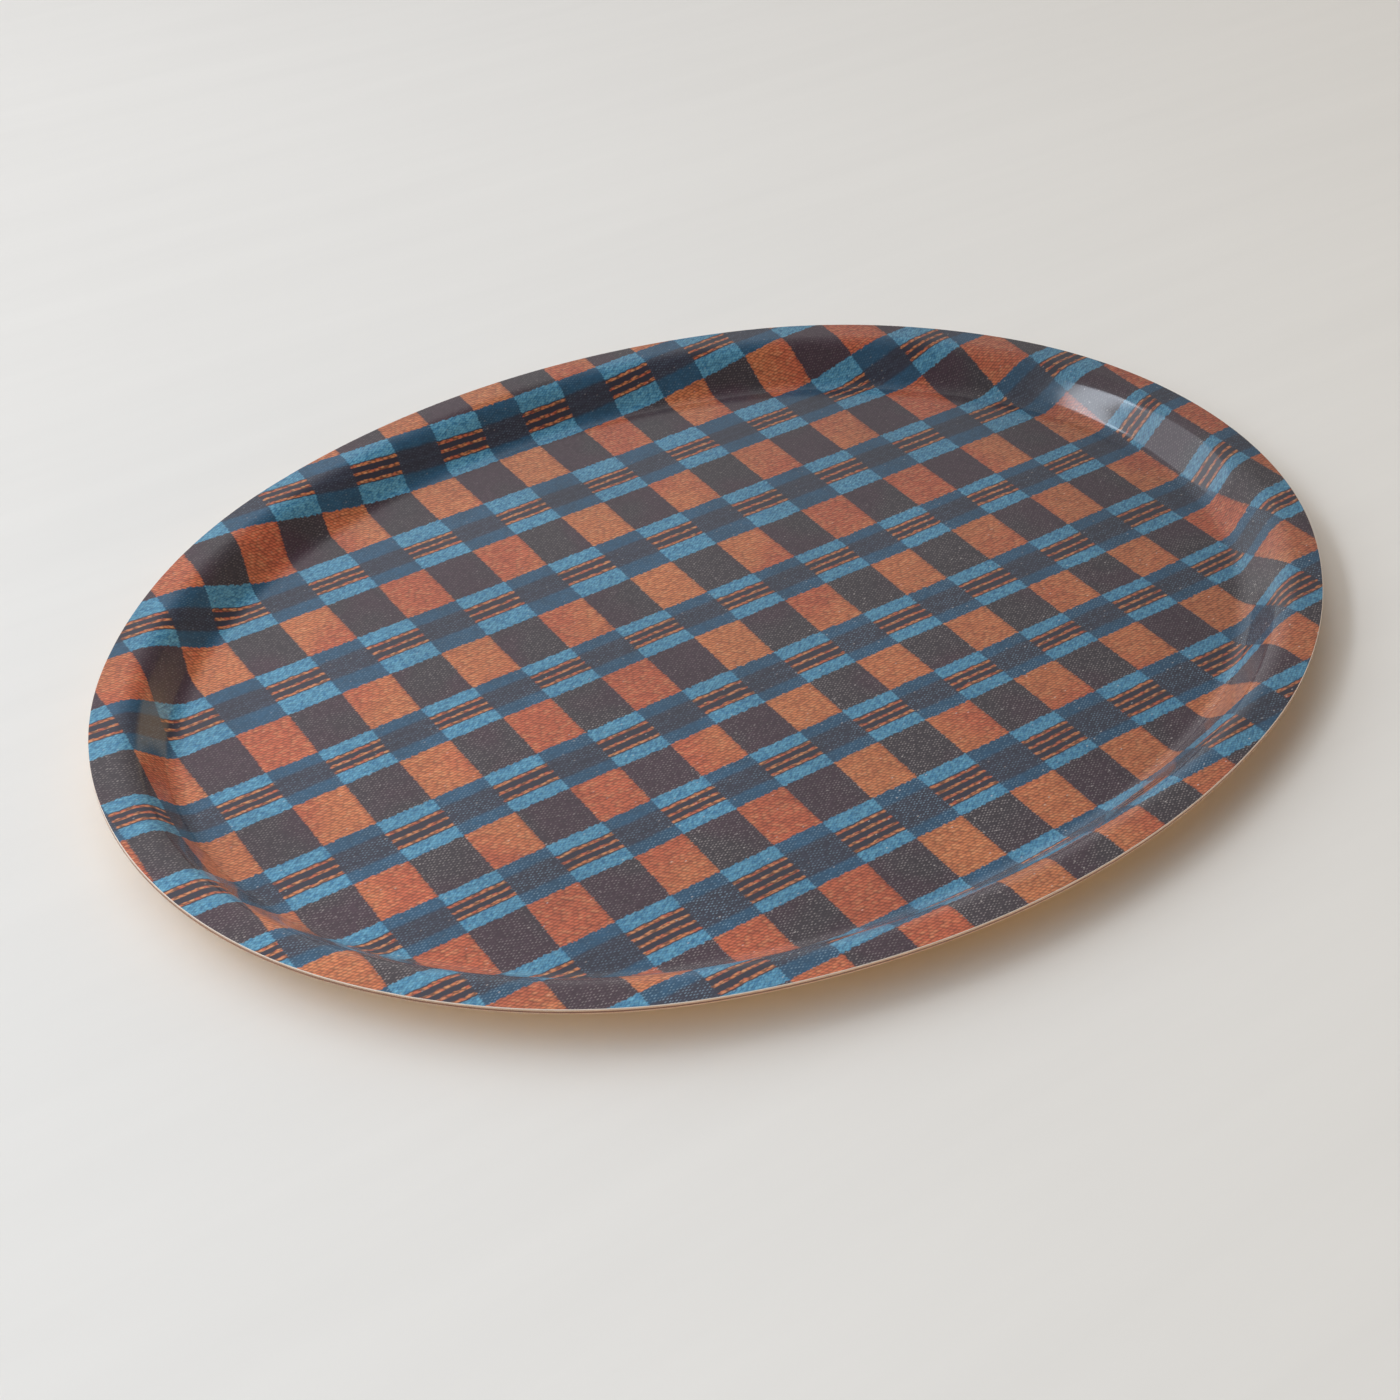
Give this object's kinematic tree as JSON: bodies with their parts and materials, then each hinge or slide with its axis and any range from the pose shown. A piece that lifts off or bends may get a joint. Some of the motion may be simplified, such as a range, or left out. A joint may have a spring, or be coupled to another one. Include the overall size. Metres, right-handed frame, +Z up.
{
  "type": "serving tray",
  "caption": "Oval serving tray of moulded birch laminate with a raised, outward-turned rim and a woven-check print under a clear satin melamine face.",
  "frame": {"origin": "centre of the underside of the base", "axes": "+X along the tray's length, +Y across it, +Z up out of the recess"},
  "size_m": [0.5004, 0.3816, 0.0176],
  "materials": {
    "birch_back": "rotary-cut birch veneer, grain along the tray, clear satin lacquer",
    "birch_core": "birch veneer laid across the tray, end grain at the sides' cut edge",
    "birch_face": "birch veneer, grain along the tray",
    "print": "decor paper printed with a woven check in rust, charcoal and blues",
    "overlay": "clear satin melamine"
  },
  "bodies": {
    "root": {"back_veneer": "birch_back", "core_veneer": "birch_core", "face_veneer": "birch_face", "printed_sheet": "print", "overlay_film": "overlay"}
  },
  "joints": []
}
